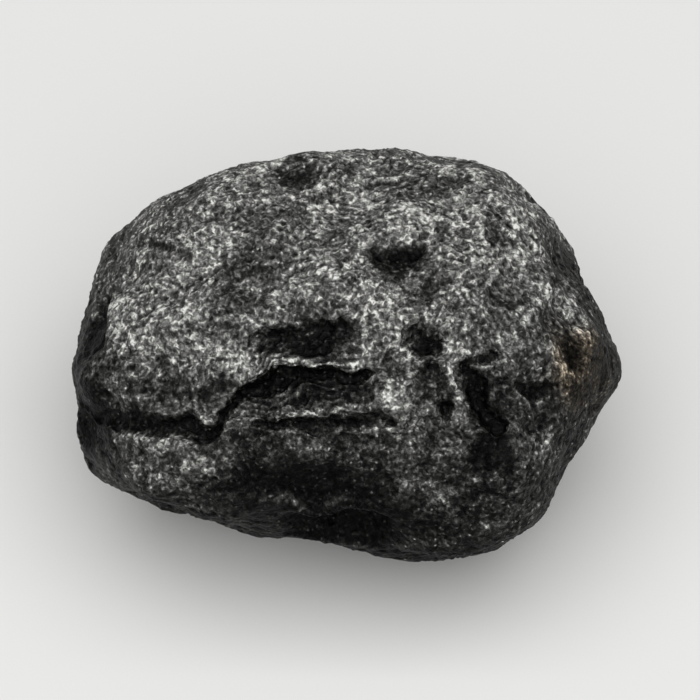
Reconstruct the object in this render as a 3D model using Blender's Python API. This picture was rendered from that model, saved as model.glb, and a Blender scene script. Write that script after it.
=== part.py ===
"""A raw tektite: one lump of natural glass, pitted and etched, resting on a small worn flat.

The stone is drawn face on, as a collector would sketch it. An outline of flats gives the silhouette of the
pitted face, more flats give the top, back and underside, and their edges are rounded together. Lumps, dishes,
slots and creases are then sunk into that blank, each placed on a drawing of the side that it belongs to.
All lengths below are millimetres. The finished mesh is in metres, with +Z up and the foot on Z = 0.
"""

import bpy
import numpy as np

MM = 0.001

# Overall size of the stone: X runs along it, Y from its front to its back, Z up.
LENGTH = 45.0
DEPTH = 37.5
HEIGHT = 31.0

# The foot is what is left when this much is worn off the lowest point of the underside.
FOOT_WEAR = 1.7

# Each side of the mesh's starting cube is divided into this many rows and columns. They are drawn together
# towards the pitted face by this share, because the finest marks are there.
DIVISIONS = 31
FACE_CROWDING = 0.45

# Higher values leave sharper edges between the flats of the blank.
EDGE_SHARPNESS = 20.0

# A drawing is a squared-on look at the stone from this azimuth and elevation, in degrees. Azimuth 0 looks
# along +Y, and 90 looks at the +X end. Places on it are millimetres right of and above the stone's middle.
FACE_VIEW = (0, 50)
BROW_VIEW = (0, -15)
RIGHT_VIEW = (90, 15)
LEFT_VIEW = (-90, 10)
BACK_VIEW = (180, 25)
UNDER_VIEW = (0, -90)

# Outline of the pitted face: direction on the face drawing, in degrees, and distance to the flat there.
FACE_OUTLINE = (
    (0, 23.8), (28, 20.2), (58, 21.0), (90, 16.8), (110, 17.0),
    (140, 23.6), (163, 22.0), (188, 23.0), (207, 27.4), (243, 18.2),
    (262, 16.0), (285, 18.6), (303, 23.6), (318, 22.6), (338, 21.0),
)

# The other flats: azimuth and elevation of the way each one faces, and its distance from the middle.
FLATS = (
    (0, 90, 14.7), (0, -90, 16.4), (0, 12, 18.0), (0, 50, 16.0), (180, 0, 18.2), (180, -45, 16.2),
    (90, 40, 19.6), (60, 8, 21.6), (120, 20, 20.4), (90, -35, 20.4), (-90, 45, 19.4), (-55, 12, 23.6),
    (-125, 15, 22.8), (-90, -38, 22.6), (40, 45, 18.6), (-40, 48, 18.4), (150, 35, 18.6),
    (-150, 35, 20.6), (45, -45, 20.0), (-45, -45, 18.6), (135, -50, 17.2), (-135, -50, 17.4),
)

# Broad knobs that stand out of the blank: azimuth, elevation, half width in degrees, height.
KNOBS = ((-128, 27, 16, 0.9), (-66, -19, 14, 1.1), (37, -34, 16, 1.0), (88, 0, 14, 0.5))

# Gentle lumps all over the stone: wavelength, height, number of crossing waves, seed.
LUMPS = ((14.0, 0.30, 12, 59), (6.5, 0.20, 16, 20))

# The rims of dishes and slots wander by this much, over this wavelength.
WANDER = 0.32
WANDER_WAVELENGTH = 5.0

# A dish is a shallow oval hollow: right, up, length, width, turn in degrees, depth.
FACE_DISHES = (
    (-4.4, 14.4, 4.4, 3.0, 0, 0.8),      # round pit under the upper edge
    (-9.0, 13.2, 3.6, 2.4, 0, 0.35),
    (3.6, 6.9, 5.6, 3.8, 25, 1.0),       # smooth dimple above the middle
    (-3.3, 0.9, 10.6, 3.6, 4, 1.0),      # upper hollow of the striped group
    (-0.9, 1.7, 3.4, 2.4, 0, 0.7),
    (-5.8, 0.7, 3.4, 2.2, 0, 0.5),
    (6.2, 0.6, 3.6, 3.4, 0, 0.9),        # hollow right of the striped group
    (6.5, -1.8, 2.4, 2.8, 20, 0.3),
    (7.5, -4.8, 2.4, 2.4, 0, 0.5),       # small deep pit
    (14.8, -3.4, 3.6, 3.0, 0, 0.5),
    (15.1, -6.1, 3.2, 2.4, 0, 0.25),
    (11.6, -8.2, 4.6, 3.4, 20, 0.8),     # pit under the comma
    (12.0, -3.6, 3.4, 4.4, 0, 0.35),
    (-14.4, 0.2, 5.0, 3.2, 0, 0.35),
    (-4.5, -10.6, 15.0, 4.2, -3, 0.8),   # long hollow under the slots
    (-8.3, 5.2, 6.5, 4.0, 10, 0.3),
    (12.8, 3.8, 4.4, 3.6, 40, 0.35),
    (0.5, 11.8, 6.0, 3.6, 0, 0.25),
    (-15.6, 8.2, 4.4, 1.8, 0, 0.35),
    (9.5, 8.5, 3.0, 1.6, -50, 0.4),
    (11.6, 9.6, 3.0, 1.2, -50, 0.35),
    (8.3, 13.6, 3.6, 2.2, 0, 0.3),
    (-19.0, -8.0, 3.0, 4.0, 0, 0.4),
)
BROW_DISHES = (
    (-0.9, 2.6, 9.0, 5.4, -4, 2.2),      # dark cavity low on the front
    (-14.0, -3.0, 6.0, 4.0, 20, 0.8),
    (12.0, -1.0, 5.0, 4.0, 0, 0.6),
)
RIGHT_DISHES = (
    (-5.5, 4.0, 6.0, 4.5, 20, 1.0), (4.5, -3.0, 7.0, 5.0, 0, 1.1),
    (-7.5, -4.0, 3.4, 2.6, 0, 0.8), (10.0, 3.0, 4.0, 3.2, 30, 0.7),
)
LEFT_DISHES = (
    (3.0, 2.0, 7.0, 4.4, -20, 1.0), (-6.0, -2.0, 5.0, 4.0, 0, 0.9),
    (8.5, -4.0, 3.4, 3.0, 0, 0.7),
)
BACK_DISHES = (
    (-8.0, 2.0, 6.4, 4.6, 15, 1.2), (2.0, 5.0, 4.2, 3.4, 0, 0.9), (9.5, -2.0, 5.0, 4.0, -30, 1.1),
    (-1.0, -6.0, 8.0, 3.2, 8, 1.0), (13.0, 5.5, 3.0, 2.4, 0, 0.6), (-14.0, -4.0, 3.6, 3.0, 0, 0.8),
)
UNDER_DISHES = (
    (-13.0, 5.0, 5.0, 4.0, 0, 0.8), (13.0, -5.0, 6.0, 4.0, 30, 0.9),
    (12.0, 8.0, 4.0, 4.0, 0, 0.7), (-10.0, -9.0, 4.0, 3.0, 0, 0.6),
)

# A slot follows a bent line and tapers to its ends: the line's points, then its width and depth.
FACE_SLOTS = (
    # Main slot.
    (((-10.8, -6.2), (-9.0, -4.1), (-6.7, -2.6), (-4.2, -2.0), (-1.9, -1.9), (1.8, -2.6)), 2.9, 0.9),
    # Shelf on its lower side.
    (((-9.0, -5.2), (-6.5, -3.7), (-3.5, -3.0), (1.6, -3.4)), 4.0, 0.45),
    # Thin slot below it.
    (((-7.2, -6.3), (-4.5, -5.9), (0.3, -5.6), (3.4, -5.4)), 1.9, 0.6),
    # Crease from the left end.
    (((-22.5, -4.8), (-17.5, -5.9), (-12.4, -6.6), (-10.6, -6.2)), 2.7, 0.8),
    # Comma-shaped hollow.
    (((10.8, -0.7), (9.7, -1.9), (10.1, -3.4), (11.3, -5.0), (12.0, -6.8)), 3.8, 0.85),
    # Groove by the right end.
    (((17.2, 8.2), (17.7, 5.4), (17.4, 2.6)), 1.9, 0.4),
)

# Where marks overlap, the shallower one adds only this share of its depth.
OVERLAP_SHARE = 0.3

# Marks fade out over the part of the stone that turns away from their drawing. This is how soon.
FADE_RATE = 2.2

GLASS_COLOUR = (0.022, 0.022, 0.021, 1.0)
GLASS_ROUGHNESS = 0.55


def clear_scene():
    for old in list(bpy.data.objects):
        bpy.data.objects.remove(old, do_unlink=True)


def unit(vectors):
    return vectors / np.linalg.norm(vectors, axis=-1, keepdims=True)


def ease(x):
    """0 below 0, 1 above 1, and a smooth S between."""
    x = np.clip(x, 0.0, 1.0)
    return x * x * (3.0 - 2.0 * x)


def drawing_axes(azimuth, elevation):
    """The directions right, up and towards the viewer of one drawing."""
    turn = np.radians(azimuth)
    rise = np.radians(elevation)
    right = np.array([np.cos(turn), np.sin(turn), 0.0])
    toward = np.array([np.sin(turn) * np.cos(rise), -np.cos(turn) * np.cos(rise), np.sin(rise)])
    return right, np.cross(toward, right), toward


def cube_sphere(divisions, crowding):
    """Directions to the points of a cube's surface grid, closer together on the pitted face, and its quads."""
    places = np.indices((divisions + 1,) * 3)
    on_surface = ((places == 0) | (places == divisions)).any(axis=0)
    index = np.full(on_surface.shape, -1)
    index[on_surface] = np.arange(on_surface.sum())
    cube = np.tan((np.argwhere(on_surface) / divisions - 0.5) * np.pi / 2.0)
    row, column = np.indices((divisions, divisions))
    quads = []
    for axis in range(3):
        for end in (0, divisions):
            corners = []
            for step_row, step_column in ((0, 0), (1, 0), (1, 1), (0, 1)):
                at = [np.full_like(row, end)] * 3
                at[(axis + 1) % 3] = row + step_row
                at[(axis + 2) % 3] = column + step_column
                corners.append(index[tuple(at)].ravel())
            side = np.stack(corners, axis=1)
            quads.append(side if end else side[:, ::-1])
    directions = unit(unit(cube) + crowding * drawing_axes(*FACE_VIEW)[2])
    return directions, np.concatenate(quads)


def blank(directions):
    """Points and outward normals of the rounded many-sided blank.

    Along a direction u the radius is (sum of (u . n / d) ** k) ** (-1 / k), over the flats with normal n and
    distance d that face that way, which is a polyhedron with rounded edges.
    """
    right, up, _ = drawing_axes(*FACE_VIEW)
    angles = np.radians([angle for angle, _ in FACE_OUTLINE])
    around = np.outer(np.cos(angles), right) + np.outer(np.sin(angles), up)
    others = np.array([drawing_axes(azimuth, elevation)[2] for azimuth, elevation, _ in FLATS])
    normals = np.concatenate([around, others])
    distances = np.array([row[-1] for row in FACE_OUTLINE + FLATS])
    reach = np.maximum(directions @ normals.T, 0.0) / distances
    radius = (reach ** EDGE_SHARPNESS).sum(axis=1) ** (-1.0 / EDGE_SHARPNESS)
    slope = (reach ** (EDGE_SHARPNESS - 1.0) / distances) @ normals
    return directions * radius[:, None], unit(slope)


def knobs(directions):
    """Height of the broad knobs along each direction, falling away smoothly around each one's middle."""
    total = np.zeros(len(directions))
    for azimuth, elevation, half_width, height in KNOBS:
        middle = drawing_axes(azimuth, elevation)[2]
        total += height * np.exp((directions @ middle - 1.0) / (1.0 - np.cos(np.radians(half_width))))
    return total


def waves(points, wavelength, count, seed):
    """A gentle irregular swell: the sum of sine waves that cross in seeded directions."""
    chance = np.random.default_rng(seed)
    headings = unit(chance.normal(size=(count, 3)))
    rates = headings * chance.uniform(0.7, 1.4, (count, 1)) * 2.0 * np.pi / wavelength
    phases = chance.uniform(0.0, 2.0 * np.pi, count)
    return np.sin(points @ rates.T + phases).sum(axis=1) / np.sqrt(count / 2.0)


def dish(x, y, centre_x, centre_y, length, width, turn):
    """1 in the middle of a turned oval and 0 well outside it."""
    cosine = np.cos(np.radians(turn))
    sine = np.sin(np.radians(turn))
    along = ((x - centre_x) * cosine + (y - centre_y) * sine) / (length / 2.0)
    across = ((y - centre_y) * cosine - (x - centre_x) * sine) / (width / 2.0)
    return ease(1.3 - np.hypot(along, across))


def slot(x, y, line, width):
    """1 along a bent line and 0 beyond its width, which narrows towards both ends."""
    line = np.array(line)
    steps = np.diff(line, axis=0)
    lengths = np.linalg.norm(steps, axis=1)
    starts = np.concatenate([[0.0], np.cumsum(lengths)[:-1]])
    offset_x = x[:, None] - line[:-1, 0]
    offset_y = y[:, None] - line[:-1, 1]
    share = np.clip((offset_x * steps[:, 0] + offset_y * steps[:, 1]) / lengths ** 2, 0.0, 1.0)
    gaps = np.hypot(offset_x - share * steps[:, 0], offset_y - share * steps[:, 1])
    nearest = gaps.argmin(axis=1)[:, None]
    gap = np.take_along_axis(gaps, nearest, axis=1)[:, 0]
    run = np.take_along_axis(starts + share * lengths, nearest, axis=1)[:, 0] / lengths.sum()
    taper = 0.45 + 0.55 * np.sqrt(np.clip(4.0 * run * (1.0 - run), 0.0, 1.0))
    return ease(1.2 - gap / (width / 2.0 * taper))


def marks(points, normals, view, dishes, slots=()):
    """How far one drawing's dishes and slots move each point, straight into that side of the stone."""
    right, up, toward = drawing_axes(*view)
    x = points @ right + WANDER * waves(points, WANDER_WAVELENGTH, 12, 21)
    y = points @ up + WANDER * waves(points, WANDER_WAVELENGTH, 12, 22)
    cuts = [row[-1] * dish(x, y, *row[:-1]) for row in dishes]
    cuts += [depth * slot(x, y, line, width) for line, width, depth in slots]
    total = np.zeros(len(points))
    for cut in cuts:
        total = np.maximum(total, cut) + OVERLAP_SHARE * np.minimum(total, cut)
    facing = ease(FADE_RATE * (normals @ toward))
    return -(total * facing)[:, None] * toward


def stone_points(directions):
    """The stone's surface along each direction from its middle, before its foot is worn flat."""
    points, normals = blank(directions)
    points = points + directions * knobs(directions)[:, None]
    lumps = sum(height * waves(points, length, count, seed) for length, height, count, seed in LUMPS)
    shaped = points + normals * lumps[:, None]
    shaped = shaped + marks(points, normals, FACE_VIEW, FACE_DISHES, FACE_SLOTS)
    shaped = shaped + marks(points, normals, BROW_VIEW, BROW_DISHES)
    shaped = shaped + marks(points, normals, RIGHT_VIEW, RIGHT_DISHES)
    shaped = shaped + marks(points, normals, LEFT_VIEW, LEFT_DISHES)
    shaped = shaped + marks(points, normals, BACK_VIEW, BACK_DISHES)
    return shaped + marks(points, normals, UNDER_VIEW, UNDER_DISHES)


def wear_foot(points):
    """Planes the lowest part of the stone to one level, which becomes its rest face."""
    worn = points.copy()
    worn[:, 2] = np.maximum(worn[:, 2], worn[:, 2].min() + FOOT_WEAR)
    return worn


def fit_size(points):
    """Brings the box of the points to the driving dimensions, its bottom centre to the origin."""
    low = points.min(axis=0)
    high = points.max(axis=0)
    base = np.array([(low[0] + high[0]) / 2.0, (low[1] + high[1]) / 2.0, low[2]])
    return (points - base) * np.array([LENGTH, DEPTH, HEIGHT]) / (high - low)


def glass_material():
    material = bpy.data.materials.new("tektite_glass")
    material.use_nodes = True
    shader = material.node_tree.nodes["Principled BSDF"]
    shader.inputs["Base Color"].default_value = GLASS_COLOUR
    shader.inputs["Roughness"].default_value = GLASS_ROUGHNESS
    shader.inputs["Metallic"].default_value = 0.0
    material.diffuse_color = GLASS_COLOUR
    return material


def build_stone():
    directions, quads = cube_sphere(DIVISIONS, FACE_CROWDING)
    points = fit_size(wear_foot(stone_points(directions)))
    mesh = bpy.data.meshes.new("tektite_stone")
    mesh.from_pydata((points * MM).tolist(), [], quads.tolist())
    mesh.shade_smooth()
    mesh.materials.append(glass_material())
    stone = bpy.data.objects.new("tektite_stone", mesh)
    bpy.context.scene.collection.objects.link(stone)
    return stone


clear_scene()
build_stone()
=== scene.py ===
# %% [markdown]
# # A raw tektite stone
#
# A tektite is a splash of molten rock that froze to black glass in flight and then lay in soil for most of
# a million years. Acids in the ground etched it: broad dishes, worm-like slots, and over everything a fine
# frosted grain, which looks pale where it catches light and dust, and black where the glass is bare.
#
# The lesson builds one such stone in three scales. The blank is its overall form, the marks are the dishes
# and slots that give it its face, and the etching is the grain you would feel with a fingernail. The first
# two follow the formulas of the solid model on a much finer grid, so the stone keeps its measured size. Only
# the narrow marks differ: the fine grid can carry them narrower, deeper and with ragged rims. The etching
# exists only here, because a solid model has no use for it.

import bpy
import mathutils
import numpy as np
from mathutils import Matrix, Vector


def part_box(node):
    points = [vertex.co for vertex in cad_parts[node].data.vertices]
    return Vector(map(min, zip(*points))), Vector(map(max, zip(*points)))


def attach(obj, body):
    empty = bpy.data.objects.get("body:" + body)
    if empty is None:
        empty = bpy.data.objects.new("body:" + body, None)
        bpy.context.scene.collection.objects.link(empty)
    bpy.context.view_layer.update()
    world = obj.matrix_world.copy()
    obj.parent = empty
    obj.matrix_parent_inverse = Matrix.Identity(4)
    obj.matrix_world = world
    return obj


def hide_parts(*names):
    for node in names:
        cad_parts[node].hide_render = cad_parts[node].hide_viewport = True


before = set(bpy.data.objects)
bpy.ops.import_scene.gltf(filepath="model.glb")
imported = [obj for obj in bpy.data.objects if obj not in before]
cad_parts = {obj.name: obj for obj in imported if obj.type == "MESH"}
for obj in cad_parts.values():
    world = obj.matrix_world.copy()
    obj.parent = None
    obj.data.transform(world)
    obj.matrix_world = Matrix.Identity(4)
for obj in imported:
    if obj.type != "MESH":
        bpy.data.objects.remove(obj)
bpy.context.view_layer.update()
MM = 0.001
NODE = "tektite_stone"
box_low, box_high = (np.array(corner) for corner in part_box(NODE))
print("solid stone, mm:", ((box_high - box_low) / MM).round(2))

# %% [markdown]
# ## Drawings
#
# Every mark is placed on a drawing, a squared-on look at one side of the stone. Two numbers then say where a
# mark is, and it is sunk straight into that side. The alternative, longitude and latitude, bunches up near
# the poles, and nobody can picture it. Azimuth 0 looks along +Y, and the pitted face looks up at 50 degrees.

# %% Axes of a drawing
FACE_VIEW = (0, 50)
BROW_VIEW = (0, -15)
RIGHT_VIEW = (90, 15)
LEFT_VIEW = (-90, 10)
BACK_VIEW = (180, 25)
UNDER_VIEW = (0, -90)


def unit(vectors):
    """Each row divided by its length."""
    return vectors / np.linalg.norm(vectors, axis=-1, keepdims=True)


def ease(x):
    """0 below 0, 1 above 1, and 3 x^2 - 2 x^3 between."""
    x = np.clip(x, 0.0, 1.0)
    return x * x * (3.0 - 2.0 * x)


def drawing_axes(azimuth, elevation):
    """The directions right, up and towards the viewer: spherical angles turned into three unit vectors."""
    turn = np.radians(azimuth)
    rise = np.radians(elevation)
    right = np.array([np.cos(turn), np.sin(turn), 0.0])
    toward = np.array([np.sin(turn) * np.cos(rise), -np.cos(turn) * np.cos(rise), np.sin(rise)])
    return right, np.cross(toward, right), toward


print("the pitted face looks towards", drawing_axes(*FACE_VIEW)[2].round(3))

# %% [markdown]
# ## A grid without poles
#
# A stone has no axis, so a grid of longitude and latitude would pinch it at two poles. Instead the six sides
# of a cube are divided into squares and pushed out to a sphere. The tangent spreads the squares evenly, and
# because neighbouring sides share their edge points by number, the mesh is closed with nothing to merge.

# %% Cube sphere
DIVISIONS = 128
FACE_CROWDING = 0.22


def cube_sphere(divisions, crowding):
    """Directions tan(a) of a cube's grid, made unit length and shifted towards the face, and its quads."""
    places = np.indices((divisions + 1,) * 3)
    on_surface = ((places == 0) | (places == divisions)).any(axis=0)
    index = np.full(on_surface.shape, -1)
    index[on_surface] = np.arange(on_surface.sum())
    cube = np.tan((np.argwhere(on_surface) / divisions - 0.5) * np.pi / 2.0)
    row, column = np.indices((divisions, divisions))
    quads = []
    for axis in range(3):
        for end in (0, divisions):
            corners = []
            for step_row, step_column in ((0, 0), (1, 0), (1, 1), (0, 1)):
                at = [np.full_like(row, end)] * 3
                at[(axis + 1) % 3] = row + step_row
                at[(axis + 2) % 3] = column + step_column
                corners.append(index[tuple(at)].ravel())
            side = np.stack(corners, axis=1)
            quads.append(side if end else side[:, ::-1])
    directions = unit(unit(cube) + crowding * drawing_axes(*FACE_VIEW)[2])
    return directions, np.concatenate(quads)


directions, quads = cube_sphere(DIVISIONS, FACE_CROWDING)
print("grid:", len(directions), "points,", 2 * len(quads), "triangles")

# %% [markdown]
# ## The blank
#
# Tumbled glass is neither a ball nor a box: it has broad flats that run into each other over soft edges. A
# polyhedron can be written as the largest of u . n / d over its flats, where u is a direction and n and d
# are a flat's normal and distance. Replacing "the largest" by a sum of high powers rounds every edge by the
# same rule, and gives the surface's normal for free. Lengths here are millimetres from the stone's middle.

# %% Flats and knobs
EDGE_SHARPNESS = 20.0

# Direction on the face drawing in degrees, and distance: these give the pitted face its outline.
FACE_OUTLINE = (
    (0, 23.8), (28, 20.2), (58, 21.0), (90, 16.8), (110, 17.0),
    (140, 23.6), (163, 22.0), (188, 23.0), (207, 27.4), (243, 18.2),
    (262, 16.0), (285, 18.6), (303, 23.6), (318, 22.6), (338, 21.0),
)

# Azimuth, elevation and distance of the other flats.
FLATS = (
    (0, 90, 14.7), (0, -90, 16.4), (0, 12, 18.0), (0, 50, 16.0), (180, 0, 18.2), (180, -45, 16.2),
    (90, 40, 19.6), (60, 8, 21.6), (120, 20, 20.4), (90, -35, 20.4), (-90, 45, 19.4), (-55, 12, 23.6),
    (-125, 15, 22.8), (-90, -38, 22.6), (40, 45, 18.6), (-40, 48, 18.4), (150, 35, 18.6),
    (-150, 35, 20.6), (45, -45, 20.0), (-45, -45, 18.6), (135, -50, 17.2), (-135, -50, 17.4),
)

# Azimuth, elevation, half width in degrees and height of the broad knobs.
KNOBS = ((-128, 27, 16, 0.9), (-66, -19, 14, 1.1), (37, -34, 16, 1.0), (88, 0, 14, 0.5))


def blank(directions):
    """Points u (sum of (u . n / d)^k)^(-1/k), a rounded polyhedron, and the normals of that surface."""
    right, up, _ = drawing_axes(*FACE_VIEW)
    angles = np.radians([angle for angle, _ in FACE_OUTLINE])
    around = np.outer(np.cos(angles), right) + np.outer(np.sin(angles), up)
    others = np.array([drawing_axes(azimuth, elevation)[2] for azimuth, elevation, _ in FLATS])
    normals = np.concatenate([around, others])
    distances = np.array([row[-1] for row in FACE_OUTLINE + FLATS])
    reach = np.maximum(directions @ normals.T, 0.0) / distances
    radius = (reach ** EDGE_SHARPNESS).sum(axis=1) ** (-1.0 / EDGE_SHARPNESS)
    slope = (reach ** (EDGE_SHARPNESS - 1.0) / distances) @ normals
    return directions * radius[:, None], unit(slope)


def knobs(directions):
    """Height h exp((u . c - 1) / (1 - cos w)) of each knob, summed: a soft cap around its middle c."""
    total = np.zeros(len(directions))
    for azimuth, elevation, half_width, height in KNOBS:
        middle = drawing_axes(azimuth, elevation)[2]
        total += height * np.exp((directions @ middle - 1.0) / (1.0 - np.cos(np.radians(half_width))))
    return total


blank_points, blank_normals = blank(directions)
blank_points = blank_points + directions * knobs(directions)[:, None]
print("blank, mm:", np.ptp(blank_points, axis=0).round(1))

# %% [markdown]
# ## Noise
#
# Etching needs two kinds of chance. Gradient noise gives soft rolling ground: every lattice point has a
# seeded slope, and the slopes are blended between them. Cell noise gives pits: every lattice cell has one
# seeded spot, and the distance to the nearest spot is a cone around it. Both are whole-array formulas.

# %% Gradient noise and cell noise
def lattice_numbers(cells, seed, count):
    """One seeded number below count for each whole-numbered lattice cell."""
    table = np.random.default_rng(seed).permutation(count)
    number = table[cells[:, 0] % count]
    number = table[(number + cells[:, 1]) % count]
    return table[(number + cells[:, 2]) % count]


def gradient_noise(points, seed):
    """Perlin's noise: slopes at the eight corners of a cell, blended by 6 t^5 - 15 t^4 + 10 t^3."""
    slopes = unit(np.random.default_rng(seed).normal(size=(256, 3)))
    cell = np.floor(points).astype(int)
    part = points - cell
    weight = part ** 3 * (part * (part * 6.0 - 15.0) + 10.0)
    total = np.zeros(len(points))
    for corner in np.ndindex(2, 2, 2):
        slope = slopes[lattice_numbers(cell + corner, seed, 256)]
        share = np.where(corner, weight, 1.0 - weight).prod(axis=1)
        total += share * (slope * (part - corner)).sum(axis=1)
    return 1.6 * total


def cell_noise(points, seed):
    """Distance to the nearest seeded spot, and a seeded number from 0 to 1 that belongs to that spot."""
    chance = np.random.default_rng(seed)
    spots = chance.random((1024, 3))
    lots = chance.random(1024)
    cell = np.floor(points).astype(int)
    nearest = np.full(len(points), 9.0)
    lot = np.zeros(len(points))
    for step in np.ndindex(3, 3, 3):
        place = cell + np.array(step) - 1
        number = lattice_numbers(place, seed, 1024)
        gap = np.linalg.norm(place + spots[number] - points, axis=1)
        lot = np.where(gap < nearest, lots[number], lot)
        nearest = np.minimum(nearest, gap)
    return nearest, lot


sample = gradient_noise(blank_points, 1)
print("noise range:", sample.min().round(2), "to", sample.max().round(2))

# %% [markdown]
# ## Marks
#
# Two shapes are enough for what the ground has eaten away: a dish, which is an oval that falls smoothly to
# its middle, and a slot, which does the same along a bent line and narrows to its ends. Their rims would
# look stamped if they were exact, so the drawing itself wanders a little, by a sum of sine waves, and frays
# by gradient noise, which leaves the rims ragged.

# %% Shapes of the marks
WANDER = 0.32
WANDER_WAVELENGTH = 5.0
WANDER_WAVES = 12
FRAY = 0.42
FRAY_WAVELENGTH = 1.5
OVERLAP_SHARE = 0.3
FADE_RATE = 2.2
DISH_RIM = 1.3
SLOT_RIM = 1.2
SLOT_END_WIDTH = 0.45


def waves(points, wavelength, count, seed):
    """The sum of sine waves in seeded directions, scaled to stay mostly between -1 and 1."""
    chance = np.random.default_rng(seed)
    headings = unit(chance.normal(size=(count, 3)))
    rates = headings * chance.uniform(0.7, 1.4, (count, 1)) * 2.0 * np.pi / wavelength
    phases = chance.uniform(0.0, 2.0 * np.pi, count)
    return np.sin(points @ rates.T + phases).sum(axis=1) / np.sqrt(count / 2.0)


def dish(x, y, centre_x, centre_y, length, width, turn):
    """ease(1.3 - r), where r is the distance from the middle of a turned oval whose rim has r = 1."""
    cosine = np.cos(np.radians(turn))
    sine = np.sin(np.radians(turn))
    along = ((x - centre_x) * cosine + (y - centre_y) * sine) / (length / 2.0)
    across = ((y - centre_y) * cosine - (x - centre_x) * sine) / (width / 2.0)
    return ease(DISH_RIM - np.hypot(along, across))


def slot(x, y, line, width):
    """ease(1.2 - g / w), where g is the gap to a bent line and w half a width that narrows to its ends."""
    line = np.array(line)
    steps = np.diff(line, axis=0)
    lengths = np.linalg.norm(steps, axis=1)
    starts = np.concatenate([[0.0], np.cumsum(lengths)[:-1]])
    offset_x = x[:, None] - line[:-1, 0]
    offset_y = y[:, None] - line[:-1, 1]
    share = np.clip((offset_x * steps[:, 0] + offset_y * steps[:, 1]) / lengths ** 2, 0.0, 1.0)
    gaps = np.hypot(offset_x - share * steps[:, 0], offset_y - share * steps[:, 1])
    nearest = gaps.argmin(axis=1)[:, None]
    gap = np.take_along_axis(gaps, nearest, axis=1)[:, 0]
    run = np.take_along_axis(starts + share * lengths, nearest, axis=1)[:, 0] / lengths.sum()
    taper = SLOT_END_WIDTH + (1.0 - SLOT_END_WIDTH) * np.sqrt(np.clip(4.0 * run * (1.0 - run), 0.0, 1.0))
    return ease(SLOT_RIM - gap / (width / 2.0 * taper))


def place_on(view, points):
    """Right and up coordinates of points on a drawing, wandering by slow waves and frayed by noise."""
    right, up, _ = drawing_axes(*view)
    x = points @ right + WANDER * waves(points, WANDER_WAVELENGTH, WANDER_WAVES, 21)
    y = points @ up + WANDER * waves(points, WANDER_WAVELENGTH, WANDER_WAVES, 22)
    x = x + FRAY * gradient_noise(points / FRAY_WAVELENGTH, 23)
    y = y + FRAY * gradient_noise(points / FRAY_WAVELENGTH, 24)
    return x, y


def mark_depth(view, dishes, slots=()):
    """Depth of one drawing's marks: the deepest, plus a share of the others, fading where the side turns."""
    x, y = place_on(view, blank_points)
    cuts = [row[-1] * dish(x, y, *row[:-1]) for row in dishes]
    cuts += [depth * slot(x, y, line, width) for line, width, depth in slots]
    total = np.zeros(len(blank_points))
    for cut in cuts:
        total = np.maximum(total, cut) + OVERLAP_SHARE * np.minimum(total, cut)
    return total * ease(FADE_RATE * (blank_normals @ drawing_axes(*view)[2]))


rim_share = np.array([0.0, 0.5, 1.0, 1.3])
dish_depth = dish(rim_share, 0.0, 0.0, 0.0, 2.0, 2.0, 0)
print("depth of a dish at", rim_share, "of the way to its rim:", dish_depth.round(2))

# %% [markdown]
# ## Where the marks are
#
# A dish is (right, up, length, width, turn, depth), and a slot is (points, width, depth). The pitted face
# has the most: a broad striped hollow with two slots under it, a long crease running in from the left end, a
# comma-shaped hollow right of the middle, and a dark cavity tucked under the front. The other sides have the
# scattered dishes that any of these stones has.

# %% Sink the marks
FACE_DISHES = (
    (-4.4, 14.4, 4.4, 3.0, 0, 0.8),
    (-9.0, 13.2, 3.6, 2.4, 0, 0.35),
    (3.6, 6.9, 5.6, 3.8, 25, 1.0),
    (-3.3, 0.9, 10.6, 3.6, 4, 1.0),
    (-0.9, 1.7, 3.4, 2.4, 0, 0.7),
    (-5.8, 0.7, 3.4, 2.2, 0, 0.5),
    (6.2, 0.6, 3.3, 3.1, 0, 1.0),
    (6.5, -1.8, 2.0, 2.6, 20, 0.5),
    (7.5, -4.8, 1.6, 1.7, 0, 1.0),
    (14.8, -3.4, 3.2, 2.0, 0, 0.8),
    (15.1, -5.9, 3.0, 1.5, 0, 0.6),
    (11.6, -8.2, 4.6, 3.4, 20, 0.8),
    (12.0, -3.6, 3.4, 4.4, 0, 0.35),
    (-14.4, 0.2, 5.0, 3.2, 0, 0.35),
    (-4.5, -10.6, 15.0, 4.2, -3, 0.8),
    (-8.3, 5.2, 6.5, 4.0, 10, 0.3),
    (12.8, 3.8, 4.4, 3.6, 40, 0.35),
    (0.5, 11.8, 6.0, 3.6, 0, 0.25),
    (-15.6, 8.2, 4.4, 1.2, 0, 0.4),
    (9.5, 8.5, 3.0, 1.6, -50, 0.4),
    (11.6, 9.6, 3.0, 1.2, -50, 0.35),
    (8.3, 13.6, 3.6, 2.2, 0, 0.3),
    (-19.0, -8.0, 3.0, 4.0, 0, 0.4),
)
FACE_SLOTS = (
    (((-10.8, -6.2), (-9.0, -4.1), (-6.7, -2.6), (-4.2, -2.0), (-1.9, -1.9), (1.8, -2.6)), 1.7, 1.1),
    (((-9.0, -5.2), (-6.5, -3.7), (-3.5, -3.0), (1.6, -3.4)), 3.6, 0.5),
    (((-7.2, -6.3), (-4.5, -5.9), (0.3, -5.6), (3.4, -5.4)), 1.4, 0.7),
    (((-22.5, -4.8), (-17.5, -5.9), (-12.4, -6.6), (-10.6, -6.2)), 2.4, 0.9),
    (((12.2, -0.5), (11.0, -0.4), (9.8, -1.0)), 1.3, 0.7),
    (((9.6, -1.3), (9.8, -3.0), (11.0, -4.8), (11.8, -6.4)), 2.5, 1.1),
    (((17.2, 8.2), (17.7, 5.4), (17.4, 2.6)), 1.6, 0.4),
)
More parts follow.
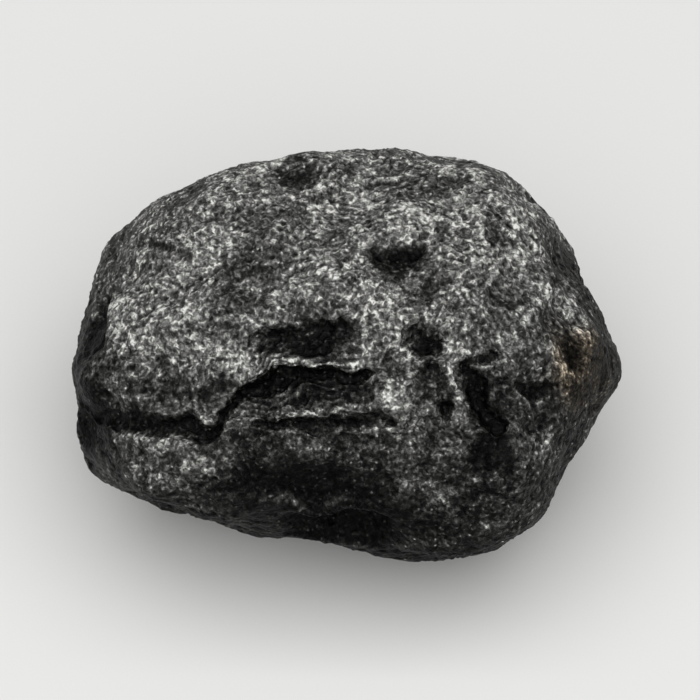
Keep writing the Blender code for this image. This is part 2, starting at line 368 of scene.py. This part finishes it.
BROW_DISHES = (
    (-0.9, 2.6, 9.0, 5.4, -4, 2.6), (-14.0, -3.0, 6.0, 4.0, 20, 0.8), (12.0, -1.0, 5.0, 4.0, 0, 0.6),
)
RIGHT_DISHES = (
    (-5.5, 4.0, 6.0, 4.5, 20, 1.0), (4.5, -3.0, 7.0, 5.0, 0, 1.1),
    (-7.5, -4.0, 3.4, 2.6, 0, 0.8), (10.0, 3.0, 4.0, 3.2, 30, 0.7),
)
LEFT_DISHES = ((3.0, 2.0, 7.0, 4.4, -20, 1.0), (-6.0, -2.0, 5.0, 4.0, 0, 0.9), (8.5, -4.0, 3.4, 3.0, 0, 0.7))
BACK_DISHES = (
    (-8.0, 2.0, 6.4, 4.6, 15, 1.2), (2.0, 5.0, 4.2, 3.4, 0, 0.9), (9.5, -2.0, 5.0, 4.0, -30, 1.1),
    (-1.0, -6.0, 8.0, 3.2, 8, 1.0), (13.0, 5.5, 3.0, 2.4, 0, 0.6), (-14.0, -4.0, 3.6, 3.0, 0, 0.8),
)
UNDER_DISHES = (
    (-13.0, 5.0, 5.0, 4.0, 0, 0.8), (13.0, -5.0, 6.0, 4.0, 30, 0.9),
    (12.0, 8.0, 4.0, 4.0, 0, 0.7), (-10.0, -9.0, 4.0, 3.0, 0, 0.6),
)
SIDES = (
    (FACE_VIEW, FACE_DISHES, FACE_SLOTS), (BROW_VIEW, BROW_DISHES, ()), (RIGHT_VIEW, RIGHT_DISHES, ()),
    (LEFT_VIEW, LEFT_DISHES, ()), (BACK_VIEW, BACK_DISHES, ()), (UNDER_VIEW, UNDER_DISHES, ()),
)

# Wavelength and height in mm, number of waves and seed.
LUMPS = ((14.0, 0.30, 12, 59), (6.5, 0.20, 16, 20))

lumps = sum(height * waves(blank_points, length, count, seed) for length, height, count, seed in LUMPS)
marked = blank_points + blank_normals * lumps[:, None]
hollow = np.zeros(len(marked))
for view, dishes, slots in SIDES:
    depth = mark_depth(view, dishes, slots)
    marked = marked - depth[:, None] * drawing_axes(*view)[2]
    hollow = np.maximum(hollow, depth)
print("deepest mark, mm:", hollow.max().round(2))

# %% [markdown]
# ## Foot and size
#
# The lowest millimetre is worn off, which leaves the small flat that the stone lies on. Then the box is
# brought to the solid model's box, so that the two agree in size whatever grid each one uses.

# %% Wear the foot and fit the box
FOOT_WEAR = 1.7

marked[:, 2] = np.maximum(marked[:, 2], marked[:, 2].min() + FOOT_WEAR)
low, high = marked.min(axis=0), marked.max(axis=0)
drawn_base = np.array([(low[0] + high[0]) / 2.0, (low[1] + high[1]) / 2.0, low[2]])
solid_base = np.array([(box_low[0] + box_high[0]) / 2.0, (box_low[1] + box_high[1]) / 2.0, box_low[2]]) / MM
fit = (box_high - box_low) / MM / (high - low)
form = (marked - drawn_base) * fit + solid_base
middle = (solid_base - drawn_base * fit) * MM
print("fit factors:", fit.round(4), " middle of the drawings, mm:", (middle / MM).round(2))

# %% [markdown]
# ## Neighbours
#
# Three helpers read the finished form. Normals come from the diagonals of the quads. A blur replaces every
# point by the mean of its neighbours, several times over. The difference between a surface and its blurred
# copy says where it stands proud and where it is sunken, which is what wear and dust care about.

# %% Normals, blur and pride
edge_a = quads.ravel()
edge_b = np.roll(quads, -1, axis=1).ravel()
neighbours = np.bincount(edge_a, minlength=len(form)) + np.bincount(edge_b, minlength=len(form))


def gather(values, index, size):
    """Sums rows of values into size bins by index."""
    return np.stack([np.bincount(index, column, size) for column in values.T], axis=1)


def point_normals(points):
    """Cross products of each quad's diagonals, summed at its corners and made unit length."""
    first, second, third, fourth = (points[quads[:, corner]] for corner in range(4))
    faces = np.cross(third - first, fourth - second)
    return unit(gather(np.repeat(faces, 4, axis=0), quads.ravel(), len(points)))


def blur(values, rounds):
    """The mean of each point's neighbours, taken that many times."""
    for _ in range(rounds):
        total = gather(values[edge_b], edge_a, len(values)) + gather(values[edge_a], edge_b, len(values))
        values = total / neighbours[:, None]
    return values


def pride(points, normals, rounds):
    """How far each point stands out of the blurred surface, in millimetres."""
    return ((points - blur(points, rounds)) * normals).sum(axis=1)


form_normals = point_normals(form)
print("normals point outwards:", bool(((form - middle / MM) * form_normals).sum(axis=1).mean() > 0))

# %% [markdown]
# ## Etching
#
# Four kinds of relief, coarse to fine. Pits in cells of 2.7, 1.35 and 0.78 mm are cones around cell spots,
# only some of them kept, with random depths. Wrinkles are the folds of gradient noise, stretched along the
# way the melt once flowed. The striped group has its own parallel grooves, which follow the arch of the
# slots. The last is plain grain. It is all cut inwards, so the stone stays within its measured size.

# %% Zones of the face
# Right, up, length, width and turn on the face drawing.
STRIPE_ZONE = (-3.4, -2.2, 12.5, 9.5, 0)
WRINKLE_ZONE = (9.5, 8.0, 12.0, 10.0, -40)
FLOW_WANDER = 0.7
FLOW_WAVELENGTH = 6.0
NEAR_FACE_START = 0.65
NEAR_FACE_RATE = 1.6

face_right, face_up, face_toward = drawing_axes(*FACE_VIEW)
face_x, face_y = place_on(FACE_VIEW, blank_points)
facing = blank_normals @ face_toward
on_face = ease(FADE_RATE * facing)
near_face = ease(NEAR_FACE_START + NEAR_FACE_RATE * facing)
flow_waves = [waves(form, FLOW_WAVELENGTH, 12, seed) for seed in (31, 32, 33)]
flow = form + FLOW_WANDER * np.stack(flow_waves, axis=1)
stripe_zone = dish(face_x, face_y, *STRIPE_ZONE) * on_face
wrinkle_zone = dish(face_x, face_y, *WRINKLE_ZONE) * on_face
print("share of points on the face:", on_face.mean().round(2), " striped:", stripe_zone.mean().round(3))

# %% Pits, wrinkles and stripes
STRIPE_SPACING = 0.62
STRIPE_STRENGTH = 0.7
STRIPE_WANDER = 0.7
STRIPE_WANDER_WAVELENGTH = 1.7


def pits(size, radius, kept, seed):
    """1 - gap / radius around the kept spots, eased, times a random depth."""
    gap, lot = cell_noise(flow / size, seed)
    return ease(1.0 - gap / radius) * ease(2.0 * (kept - lot))


def wrinkles(along, length, width, seed):
    """(1 - |noise|)^3: sharp folds, stretched to length along a direction and width across it."""
    along = unit(np.array(along, dtype=float))
    run = flow @ along
    across = flow - run[:, None] * along
    return (1.0 - np.abs(gradient_noise(across / width + np.outer(run / length, along), seed))) ** 3


def grooves():
    """(1 + cos 2 pi p) / 2, eased, where p counts spacings up from an arch -2.5 - 0.055 (x + 2)^2."""
    arch = -2.5 - 0.055 * np.minimum(face_x + 2.0, 0.0) ** 2
    wander = STRIPE_WANDER * gradient_noise(flow / STRIPE_WANDER_WAVELENGTH, 41)
    count = (face_y - arch) / STRIPE_SPACING + wander
    return ease(0.5 + 0.5 * np.cos(2.0 * np.pi * count))


stripes = STRIPE_STRENGTH * stripe_zone * grooves()
print("strongest stripe:", stripes.max().round(2))

# %% Etch the surface
# Cell size in mm, radius and share kept, depth in mm off the face and on it, and seed.
PITS = (
    (2.70, 0.62, 0.55, 0.48, 0.34, 51),
    (1.35, 0.62, 0.75, 0.22, 0.22, 52),
    (0.78, 0.55, 0.90, 0.20, 0.20, 53),
)
WRINKLE_DEPTH = 0.04
WRINKLE_ZONE_DEPTH = 0.20
CROSS_WRINKLE_DEPTH = 0.06
STRIPE_DEPTH = 0.22
GRAIN_DEPTH = 0.08

etch = sum((off_face + (on - off_face) * near_face) * pits(size, radius, kept, seed)
           for size, radius, kept, off_face, on, seed in PITS)
wrinkle_depth = WRINKLE_DEPTH + WRINKLE_ZONE_DEPTH * wrinkle_zone
etch += wrinkle_depth * wrinkles(-face_up + face_right, 2.6, 0.9, 54)
etch += CROSS_WRINKLE_DEPTH * wrinkles(face_right + 0.3 * face_toward, 1.2, 0.8, 55)
etch += STRIPE_DEPTH * stripes
etch += GRAIN_DEPTH * (gradient_noise(flow / 0.55, 56) + gradient_noise(flow / 1.0, 57))
etched = form - form_normals * etch[:, None]
etched[:, 2] = np.maximum(etched[:, 2], solid_base[2])
etched_normals = point_normals(etched)
print("etching, mm: mean", etch.mean().round(3), "most", etch.max().round(3))

# %% [markdown]
# ## Frost, painted light and painted shade
#
# How pale the glass looks depends on place. Rubbed crests are frosted, the upper side is dusty and is also
# made paler as painted light from above, and hollows keep their bare black glass. Hollows, the underside and
# both ends are also darkened as painted shade. One number for each point adds up the causes: open sky above,
# which is dust and painted top light, a crest, a slope that faces up, which is dust and painted shade on
# walls that face down, faint streaks along the stone, and pale and dark areas placed on the drawing, the
# dark ones partly painted shade.
# It is worked out here, where the shape is known, and the material only adds grain finer than the mesh.

# %% Pale and dark areas
# Pale and dark areas of the face: right, up, length, width, turn, strength. The dark ones are partly
# painted shade: at the left end, along the lower front and in the cavity under the front.
PALE_AREAS = (
    (4.0, 3.6, 7.0, 6.0, 60, 0.14), (-16.0, 3.0, 9.0, 9.0, 0, 0.10), (-14.6, -9.4, 4.0, 2.0, -20, 0.10),
    (11.0, 8.0, 9.0, 9.0, -40, 0.06), (-1.6, -8.4, 3.6, 1.2, 0, 0.16), (4.4, -1.2, 2.2, 8.0, 0, 0.15),
    (3.0, 10.5, 16.0, 5.0, 0, 0.08), (15.4, 5.0, 1.8, 9.0, 25, 0.18), (8.6, -3.4, 1.0, 4.6, 0, 0.20),
    (-13.0, -2.0, 6.0, 3.0, 0, 0.08), (-2.4, -4.5, 8.0, 1.1, 0, 0.22), (13.2, -2.4, 1.2, 3.0, 20, 0.20),
    (7.4, -11.6, 2.6, 1.6, 0, 0.20), (1.2, -16.6, 9.0, 0.8, 0, 0.25), (1.0, -12.3, 9.0, 1.1, 2, 0.30),
    (5.6, -14.0, 3.0, 4.0, 0, 0.12), (-12.0, -13.4, 10.0, 2.2, -16, 0.18),
    (17.6, 2.0, 3.4, 7.6, 0, 0.50), (6.0, -9.8, 5.0, 4.4, -20, 0.28), (-13.2, -11.6, 6.0, 2.4, -20, 0.42),
    (-8.0, 5.6, 4.4, 3.0, 0, 0.15), (11.5, -5.0, 5.0, 4.0, 0, 0.12), (-2.8, -1.2, 4.4, 1.4, 0, 0.18),
    (-7.6, -6.4, 3.0, 1.8, 0, 0.18),
)
DARK_AND_SHADED_AREAS = (
    (-22.8, -4.0, 6.4, 19.0, 0, 1.0), (-5.0, -11.8, 18.0, 6.0, 0, 0.40), (20.6, 4.0, 6.0, 17.0, 14, 0.42),
    (14.5, -8.0, 11.0, 10.0, -30, 0.30), (11.0, -3.8, 5.0, 8.0, 30, 0.30), (-3.2, -3.4, 12.0, 8.0, 0, 0.22),
    (8.3, 13.8, 3.6, 2.4, 0, 0.16), (4.0, -16.0, 26.0, 7.0, 0, 0.45), (-3.3, 0.9, 9.6, 3.4, 4, 0.14),
    (-16.0, -5.6, 12.0, 2.0, -6, 0.25), (18.5, -4.0, 8.0, 10.0, 0, 0.18), (6.6, -1.4, 3.0, 5.4, 0, 0.22),
    (6.0, -10.6, 18.0, 9.0, 0, 0.44), (-0.8, -14.6, 9.6, 4.0, 0, 1.0), (-9.0, -15.4, 14.0, 3.0, -14, 0.16),
    (-8.6, 7.2, 5.0, 3.0, 10, 0.10), (-20.0, 8.0, 4.0, 10.0, -25, 0.18),
    (-14.0, -11.0, 16.0, 9.0, -10, 0.30),
    (-14.6, -3.0, 11.0, 5.5, 0, 0.32), (-5.0, -7.5, 17.0, 4.4, 0, 0.42), (12.2, 1.0, 8.0, 9.0, 0, 0.17),
    (14.6, -1.3, 4.4, 2.4, 0, 0.20), (-10.6, -3.6, 4.0, 4.4, 0, 0.24), (2.3, 3.0, 3.0, 7.0, 0, 0.13),
    (7.4, 6.2, 4.4, 4.4, 0, 0.18), (7.4, -3.2, 3.0, 3.4, 0, 0.24), (-2.4, 3.0, 9.0, 2.2, 4, 0.20),
    (-1.4, -0.3, 7.0, 1.6, 0, 0.18),
)


def painted(areas):
    """The sum of strength times dish over a list of areas."""
    return sum(row[-1] * dish(face_x, face_y, *row[:-1]) for row in areas)


# The dark areas take away frost, and with it they paint shade where it falls.
pale_dark_and_shaded = painted(PALE_AREAS) - painted(DARK_AND_SHADED_AREAS)
print("areas add from", pale_dark_and_shaded.min().round(2), "to", pale_dark_and_shaded.max().round(2))

# %% Work out where the frost, painted light and painted shade lie
# Frost, painted light and painted shade added or lost by each cause. The two heights are in millimetres.
FROST_FLOOR = 0.37
SKY_DUST_AND_TOP_LIGHT = 0.52
SLOPE_DUST_AND_SHADE = 0.50
CREST_FROST, CREST_HEIGHT = 0.07, 0.035
RIDGE_FROST, RIDGE_HEIGHT = 0.10, 0.30
STRIPE_FROST = 0.14
GROOVE_LOSS = 0.40
HOLLOW_GLASS_AND_SHADE = 0.30
FACE_HOLLOW_GLASS_AND_SHADE = 0.32
MOST_FROST = 1.15
SHARP_SHARE = 0.4
DRIFT_FROST = 0.18
STREAK_FROST = 0.16
STREAK_STRETCH = 0.7
# Right, up, half length and half height of the thin edge, where a brown glow of light shining through is
# painted.
PAINTED_GLOW_SPOT = (18.6, -1.4, 2.8, 3.0)

broad_normals = blur(etched_normals, 24)
# Surfaces facing up are paler: settled dust, and painted light from the lamp above.
sky_dust_and_top_light = ease(0.5 + 0.8 * broad_normals[:, 2])
# Slopes that face up are paler and walls that face down darker: settled dust, and painted shade of the light
# from above.
upward_dust_and_shade = blur(etched_normals, 2)[:, 2] - broad_normals[:, 2]
crest = pride(etched, etched_normals, 3) / CREST_HEIGHT
ridge = pride(etched, etched_normals, 40) / RIDGE_HEIGHT
drift = 0.06 * waves(form, 9.0, 16, 61) + DRIFT_FROST * gradient_noise(flow / 3.0, 62)
streaked = flow - STREAK_STRETCH * np.outer(flow @ face_right, face_right)
drift += STREAK_FROST * gradient_noise(streaked / 1.1, 63)
sunk = SHARP_SHARE * hollow + (1.0 - SHARP_SHARE) * blur(hollow[:, None], 16)[:, 0]

frost_and_painted_light = FROST_FLOOR + SKY_DUST_AND_TOP_LIGHT * sky_dust_and_top_light + drift + pale_dark_and_shaded * near_face
frost_and_painted_light += CREST_FROST * np.clip(crest, -2.0, 2.0) + RIDGE_FROST * np.clip(ridge, -2.0, 2.0)
frost_and_painted_light += SLOPE_DUST_AND_SHADE * np.clip(upward_dust_and_shade, -0.6, 0.5) + STRIPE_FROST * stripe_zone - GROOVE_LOSS * stripes
# Hollows are darker: bare black glass, and painted shade in the recesses, most of all in the cavity under
# the front.
frost_and_painted_light -= (HOLLOW_GLASS_AND_SHADE + FACE_HOLLOW_GLASS_AND_SHADE * near_face) * ease((sunk - 0.2) / 0.9)
frost_and_painted_light = np.clip(frost_and_painted_light, 0.0, MOST_FROST)
glow_right, glow_up, glow_length, glow_height = PAINTED_GLOW_SPOT
glow_gap = np.hypot((face_x - glow_right) / glow_length, (face_y - glow_up) / glow_height)
# Painted glow: a brown tint where light would shine through the thin edge.
painted_glow = ease(1.5 - glow_gap) * near_face
print("frost: mean", frost_and_painted_light.mean().round(2), " warm share", painted_glow.mean().round(3))

# %% [markdown]
# ## The mesh
#
# foreach_set and from_pydata take the arrays as they are. The attributes are one number for each point.

# %% Make the piece
mesh = bpy.data.meshes.new("frosted_stone")
mesh.from_pydata((etched * MM).tolist(), [], quads.tolist())
mesh.shade_smooth()
# The first number holds the frost together with painted light on the upper side and painted shade below and
# in hollows.
for name, values in (("frost_and_painted_light", frost_and_painted_light), ("painted_glow", painted_glow)):
    attribute = mesh.attributes.new(name, "FLOAT", "POINT")
    attribute.data.foreach_set("value", values.astype(np.float32))
stone = bpy.data.objects.new("frosted_stone", mesh)
bpy.context.scene.collection.objects.link(stone)
print("made", stone.name, "with", len(mesh.polygons), "quads")

# %% [markdown]
# ## The glass
#
# Tektite glass is black because it is dense with iron, and it is not clear even where it is thin: the
# sharpest edge only glows a dull brown where light shines through it. So the shader needs no transmission:
# that glow is painted into the colour as a brown tint. It is black glass under a pale rough frost, and what
# matters is how the frost is spread. Added noise would make it even salt and pepper.
# Here paleness is ten to the power of noise plus the number for frost, painted light and painted shade, so
# each
# step up in that number multiplies it: dark areas keep a few bright grains, partly painted glints, pale ones
# are crowded with them, and there is no hard border between.
# Coordinates are the object's own, so the grain stays where it is when the stone is picked up.

# %% Material and node helpers
material = bpy.data.materials.new("tektite_glass")
material.use_nodes = True
nodes = material.node_tree.nodes
links = material.node_tree.links
shader = nodes["Principled BSDF"]


def new_node(kind, name, **values):
    """A named node with some of its settings given."""
    node = nodes.new(kind)
    node.name = node.label = name
    for key, value in values.items():
        setattr(node, key, value)
    return node


def wire(source, target):
    """Links an output to an input."""
    links.new(source, target)


def maths(operation, first, second):
    """A Math node on two sockets or numbers."""
    node = new_node("ShaderNodeMath", operation.lower(), operation=operation)
    for socket, value in zip(node.inputs, (first, second)):
        if isinstance(value, (int, float)):
            socket.default_value = value
        else:
            wire(value, socket)
    return node.outputs[0]


def spread(value, low, high, to_low, to_high):
    """A Map Range node with smooth ends."""
    node = new_node("ShaderNodeMapRange", "spread", interpolation_type="SMOOTHSTEP")
    wire(value, node.inputs["Value"])
    for name, number in (("From Min", low), ("From Max", high), ("To Min", to_low), ("To Max", to_high)):
        node.inputs[name].default_value = number
    return node.outputs["Result"]


def blend_colours(share, first, second):
    """A colour Mix node."""
    node = new_node("ShaderNodeMix", "blend", data_type="RGBA")
    wire(share, node.inputs["Factor"])
    for socket, value in ((node.inputs["A"], first), (node.inputs["B"], second)):
        socket_of_colour = [s for s in node.inputs if s.name == socket.name and s.type == "RGBA"][0]
        if isinstance(value, tuple):
            socket_of_colour.default_value = value
        else:
            wire(value, socket_of_colour)
    return [s for s in node.outputs if s.type == "RGBA"][0]


print("material", material.name)

# %% Grains, granules and the piece's own numbers
FINE_GRAIN = 0.40
COARSE_GRAIN = 1.5
FINE_SHARE = 0.72
SUGAR_SIZE = 0.34
PINHOLE_SIZE = 0.95

place = new_node("ShaderNodeTexCoord", "place").outputs["Object"]


def grain(name, wavelength_mm, detail, roughness):
    """Noise of a given wavelength in millimetres."""
    node = new_node("ShaderNodeTexNoise", name)
    wire(place, node.inputs["Vector"])
    node.inputs["Scale"].default_value = 1.0 / (wavelength_mm * MM)
    node.inputs["Detail"].default_value = detail
    node.inputs["Roughness"].default_value = roughness
    node.inputs["Distortion"].default_value = 0.5
    return node.outputs["Fac"]


def granules(name, size_mm):
    """Cells of a given size: a random number for each granule, and the distance from its middle."""
    node = new_node("ShaderNodeTexVoronoi", name)
    wire(place, node.inputs["Vector"])
    node.inputs["Scale"].default_value = 1.0 / (size_mm * MM)
    parts = new_node("ShaderNodeSeparateColor", name + "_lot")
    wire(node.outputs["Color"], parts.inputs["Color"])
    return parts.outputs["Red"], node.outputs["Distance"]


def read(name):
    """One of the piece's own numbers."""
    return new_node("ShaderNodeAttribute", name, attribute_name=name).outputs["Fac"]


fine = grain("fine_grain", FINE_GRAIN, 2.0, 0.6)
coarse = grain("coarse_grain", COARSE_GRAIN, 3.0, 0.6)
sugar_lot, sugar_gap = granules("sugar", SUGAR_SIZE)
# Bright granules painted into the colour: frost grains, and painted glints of small glass facets.
glint_granules = maths("MULTIPLY", spread(sugar_gap, 0.10, 0.65, 1.0, 0.0), spread(sugar_lot, 0.55, 1.0, 0.0, 1.0))
pit_lot, pit_gap = granules("pinholes", PINHOLE_SIZE)
pinhole = maths("MULTIPLY", spread(pit_gap, 0.10, 0.45, 1.0, 0.0), spread(pit_lot, 0.35, 0.60, 0.0, 1.0))
mixed = maths("ADD", maths("MULTIPLY", fine, FINE_SHARE), maths("MULTIPLY", coarse, 1.0 - FINE_SHARE))
print("grain from", SUGAR_SIZE, "to", COARSE_GRAIN, "mm")

# %% Paleness
BARE_POWER = -2.70
FROST_AND_LIGHT_POWER = 1.85
GRAIN_POWER = 5.0
BARE_PAINTED_GLINT = 1.25
FROST_PAINTED_GLINT_LOSS = 0.85
PINHOLE_POWER = 0.35
MOST_PALENESS = 0.75

power = maths("ADD", maths("MULTIPLY", maths("SUBTRACT", mixed, 0.5), GRAIN_POWER), BARE_POWER)
# The frost number raises paleness, and with it the painted light and painted shade it carries.
power = maths("ADD", power, maths("MULTIPLY", read("frost_and_painted_light"), FROST_AND_LIGHT_POWER))
# The granules are strongest on bare glass, where they stand as painted glints.
painted_glint_strength = maths("SUBTRACT", BARE_PAINTED_GLINT, maths("MULTIPLY", read("frost_and_painted_light"), FROST_PAINTED_GLINT_LOSS))
power = maths("ADD", power, maths("MULTIPLY", glint_granules, painted_glint_strength))
power = maths("SUBTRACT", power, maths("MULTIPLY", pinhole, PINHOLE_POWER))
paleness = maths("MINIMUM", maths("POWER", 10.0, power), MOST_PALENESS)
full_frost = 10.0 ** (BARE_POWER + FROST_AND_LIGHT_POWER)
print("paleness of bare glass:", round(10.0 ** BARE_POWER, 4), " of full frost:", round(full_frost, 2))

# %% Glass material
BLACK = (0.0, 0.0, 0.0, 1.0)
FROST_WHITE = (1.0, 0.995, 0.955, 1.0)
THIN_EDGE_BROWN = (1.0, 0.84, 0.64, 1.0)
GLASS_ROUGHNESS = 0.40
FROST_ROUGHNESS = 0.80
ROUGH_PALENESS = 0.12
RELIEF_HEIGHT = 0.30
RELIEF_STRENGTH = 0.8
GLINT_GRANULE_RELIEF = 0.25
PINHOLE_RELIEF = 0.5

# The pale colour turns brown where the glow of light through the thin edge is painted.
tint = blend_colours(read("painted_glow"), FROST_WHITE, THIN_EDGE_BROWN)
wire(blend_colours(paleness, BLACK, tint), shader.inputs["Base Color"])
wire(spread(paleness, 0.0, ROUGH_PALENESS, GLASS_ROUGHNESS, FROST_ROUGHNESS), shader.inputs["Roughness"])
for name, value in (("Metallic", 0.0), ("IOR", 1.5), ("Specular IOR Level", 0.035)):
    shader.inputs[name].default_value = value

bump = new_node("ShaderNodeBump", "grain_relief")
bump.inputs["Strength"].default_value = RELIEF_STRENGTH
bump.inputs["Distance"].default_value = RELIEF_HEIGHT * MM
relief = maths("ADD", mixed, maths("MULTIPLY", glint_granules, GLINT_GRANULE_RELIEF))
relief = maths("SUBTRACT", relief, maths("MULTIPLY", pinhole, PINHOLE_RELIEF))
wire(relief, bump.inputs["Height"])
wire(bump.outputs["Normal"], shader.inputs["Normal"])
mesh.materials.append(material)
print("material", material.name, "with", len(nodes), "nodes")

# %% [markdown]
# ## Table, light and camera
#
# The stone lies on a plain pale surface under one large soft lamp, which hangs high and a little in front,
# so the upper side is lit and the front falls into shade low down. The table is a wide round dish whose rim
# rises far away: from any side the camera sees a soft seamless backdrop. The camera looks down at 50 degrees
# through a long lens from half a metre away.

# %% Table
FLOOR_RADIUS = 3.0
FLOOR_FLAT = 0.8
FLOOR_RISE = 0.6
FLOOR_COLOUR = (0.80, 0.80, 0.79, 1.0)


def round_table(rings=48, sides=96):
    """Rings of radius r and height h ease((r - flat) / (radius - flat)) around the middle."""
    radius = np.linspace(0.0, FLOOR_RADIUS, rings + 1)[1:]
    rise = FLOOR_RISE * ease((radius - FLOOR_FLAT) / (FLOOR_RADIUS - FLOOR_FLAT))
    angle = np.arange(sides) * 2.0 * np.pi / sides
    ring = np.stack([np.outer(radius, np.cos(angle)), np.outer(radius, np.sin(angle)),
                     np.repeat(rise[:, None], sides, axis=1)], axis=2).reshape(-1, 3)
    inner = np.arange((rings - 1) * sides).reshape(rings - 1, sides)
    following = np.roll(inner, -1, axis=1)
    bands = np.stack([inner, inner + sides, following + sides, following], axis=2).reshape(-1, 4)
    made = bpy.data.meshes.new("table")
    made.from_pydata(ring.tolist(), [], [list(range(sides))] + bands.tolist())
    made.shade_smooth()
    return made


table = bpy.data.objects.new("table", round_table())
bpy.context.scene.collection.objects.link(table)
table_material = bpy.data.materials.new("pale_table")
table_material.use_nodes = True
table_shader = table_material.node_tree.nodes["Principled BSDF"]
for name, value in (("Base Color", FLOOR_COLOUR), ("Roughness", 0.8), ("Specular IOR Level", 0.2)):
    table_shader.inputs[name].default_value = value
table.data.materials.append(table_material)
print("table radius, m:", FLOOR_RADIUS)

# %% Light
LAMP_DIRECTION = (0, 66)
LAMP_DISTANCE = 1.0
LAMP_SIZE = 1.5
LAMP_POWER = 15.4
WORLD_COLOUR = (1.0, 1.0, 0.99, 1.0)
WORLD_STRENGTH = 0.22


def facing_stone(view, distance):
    """The matrix of a lamp or camera at that distance from the stone's middle, looking at it down its -Z."""
    right, up, toward = drawing_axes(*view)
    matrix = np.eye(4)
    matrix[:3, :3] = np.stack([right, up, toward], axis=1)
    matrix[:3, 3] = middle + toward * distance
    return mathutils.Matrix(matrix.tolist())


lamp = bpy.data.lights.new("overhead", "AREA")
lamp.shape = "SQUARE"
lamp.size = LAMP_SIZE
lamp.energy = LAMP_POWER
lamp_holder = bpy.data.objects.new("overhead", lamp)
lamp_holder.matrix_world = facing_stone(LAMP_DIRECTION, LAMP_DISTANCE)
bpy.context.scene.collection.objects.link(lamp_holder)

world = bpy.data.worlds.new("studio")
world.use_nodes = True
sky_node = world.node_tree.nodes["Background"]
sky_node.inputs["Color"].default_value = WORLD_COLOUR
sky_node.inputs["Strength"].default_value = WORLD_STRENGTH
bpy.context.scene.world = world
bpy.context.scene.view_settings.view_transform = "Standard"
print("lamp:", lamp.name, "at", LAMP_DIRECTION[1], "degrees,", LAMP_POWER, "W")

# %% Camera
CAMERA_DISTANCE = 0.5
FIELD_WIDTH = 0.0574
SENSOR_WIDTH = 36.0

lens = bpy.data.cameras.new("camera")
lens.sensor_width = SENSOR_WIDTH
lens.lens = SENSOR_WIDTH * CAMERA_DISTANCE / FIELD_WIDTH
camera = bpy.data.objects.new("camera", lens)
camera.matrix_world = facing_stone(FACE_VIEW, CAMERA_DISTANCE)
bpy.context.scene.collection.objects.link(camera)
bpy.context.scene.camera = camera
print("lens, mm:", round(lens.lens))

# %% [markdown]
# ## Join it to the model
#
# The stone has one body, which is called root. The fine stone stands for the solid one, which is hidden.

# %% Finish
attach(stone, "root")
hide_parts(NODE)
